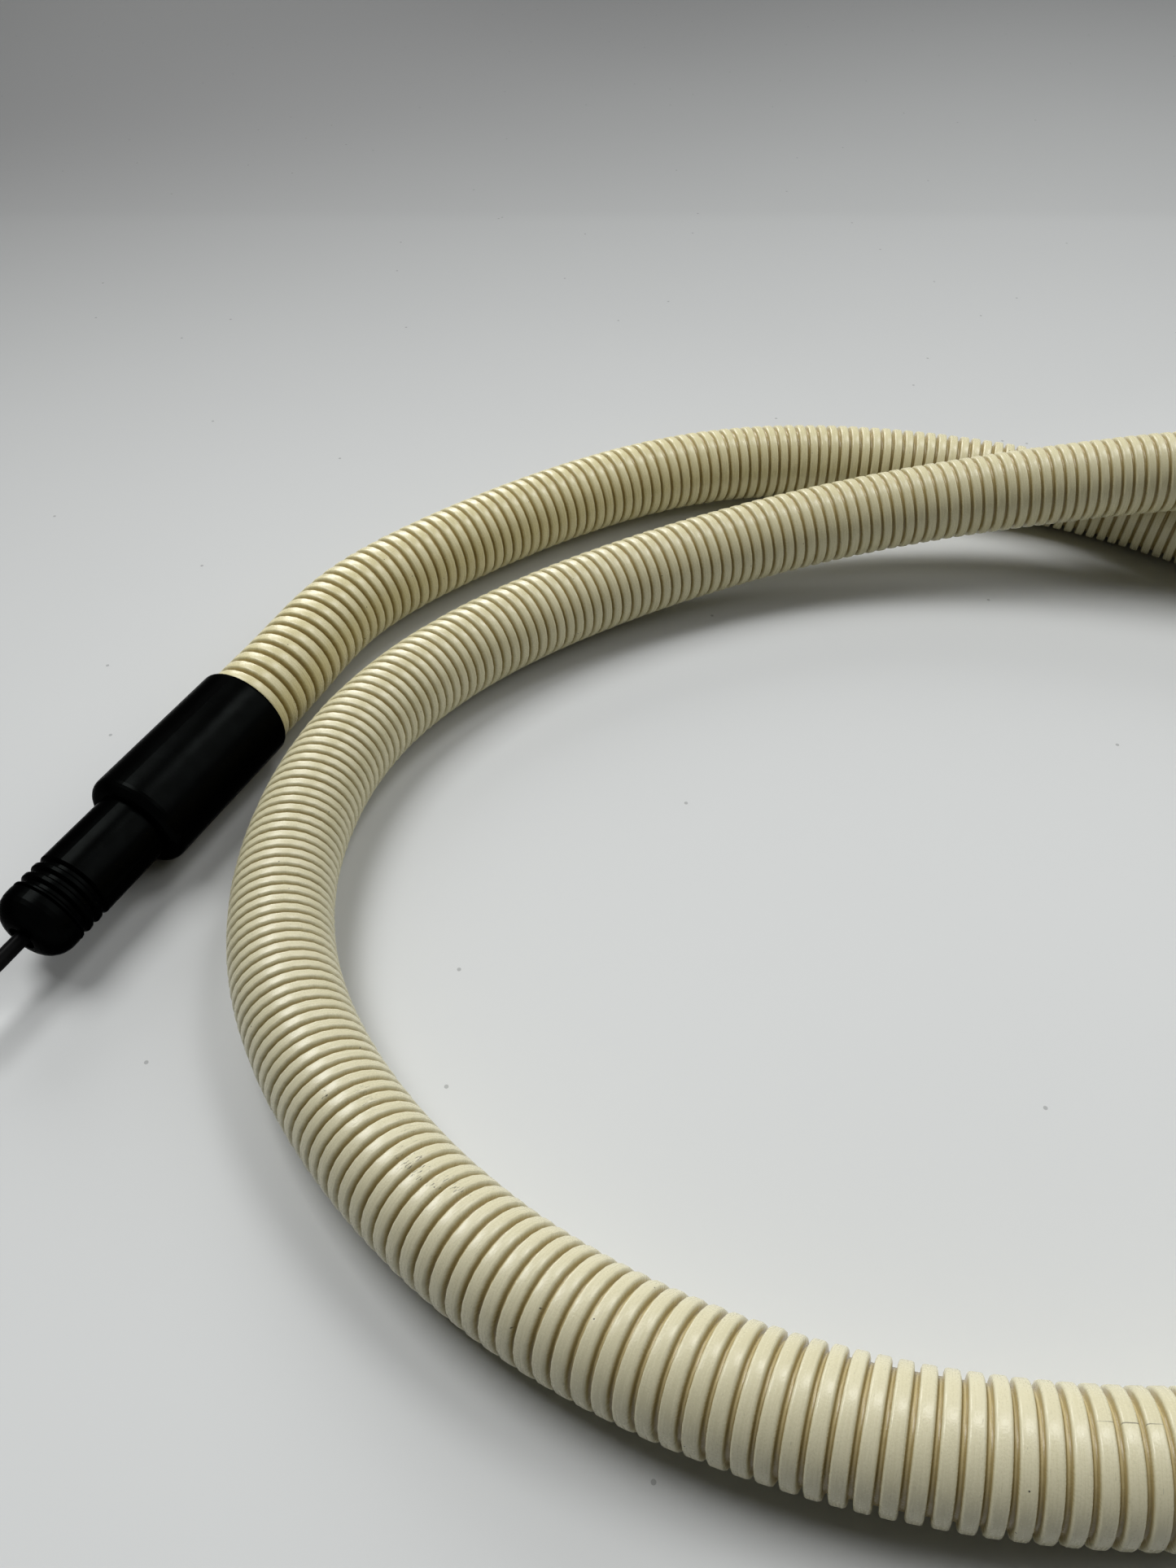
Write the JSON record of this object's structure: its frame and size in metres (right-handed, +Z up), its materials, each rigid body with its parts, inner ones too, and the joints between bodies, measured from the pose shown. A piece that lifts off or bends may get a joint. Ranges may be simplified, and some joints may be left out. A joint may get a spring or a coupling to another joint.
{
  "type": "cable shutter release",
  "caption": "Mechanical cable release: ribbed ivory sheath with a slim black camera end, a sliding release wire and a plunger handle with a lock screw.",
  "frame": {"origin": "on the surface that the release lies on, at the middle of the box round its two end fittings", "axes": "+Z is up; -X is the camera end's axis, the way its wire leaves; +Y runs from the handle to the camera end"},
  "size_m": [0.1171, 0.1319, 0.0184],
  "materials": {
    "black_metal": "satin black lacquer",
    "brass": "turned",
    "dark_bush": "blackened brass",
    "nickel": "satin nickel plate",
    "ivory_sheath": "aged ivory, satin",
    "liner": "yellowed",
    "wire_steel": "drawn",
    "black_wire": "black, satin gloss",
    "bright_steel": "drawn, bright",
    "black_plastic": "moulded, polished"
  },
  "bodies": {
    "release": {"end_sleeve": "black_metal", "front_crimp_ring": "brass", "nose_barrel": "black_metal", "nose_cap": "black_metal", "nose_bush": "dark_bush", "nose_wire_guide": "brass", "cable_sheath": "ivory_sheath", "sheath_liner": "liner", "core_wire": "wire_steel", "handle_sleeve": "black_metal", "handle_crimp_ring": "brass", "handle_wire_guide": "brass", "plunger_barrel": "black_metal", "spring_seat": "bright_steel", "return_spring": "bright_steel", "barrel_bush": "nickel", "finger_flange": "black_metal", "lock_boss": "black_metal"},
    "plunger": {"plunger_rod": "bright_steel", "rod_piston": "bright_steel", "core_nipple": "brass", "plunger_wire": "wire_steel", "button_collar": "nickel", "thumb_button": "black_plastic"},
    "release_wire": {"release_wire": "black_wire"},
    "lock_screw": {"lock_screw": "nickel"}
  },
  "joints": [
    {"name": "plunger_press", "type": "slide", "parent": "release", "child": "plunger", "axis": [1, 0, 0], "range_m": [0, 0.01], "stiffness_N_per_m": 150, "springref_m": -0.002, "deforming": ["return_spring"]},
    {"name": "wire_slide", "type": "slide", "parent": "release", "child": "release_wire", "axis": [-1, 0, 0], "range_m": [0, 0.01]},
    {"name": "lock_screw_turn", "type": "hinge", "parent": "release", "child": "lock_screw", "pos_m": [-0.00955, -0.057, 0.009], "axis": [0, 0, 1], "range_deg": [0, 270]}
  ],
  "couplings": [
    {"joint": "wire_slide", "follows": "plunger_press", "ratio": 1}
  ]
}
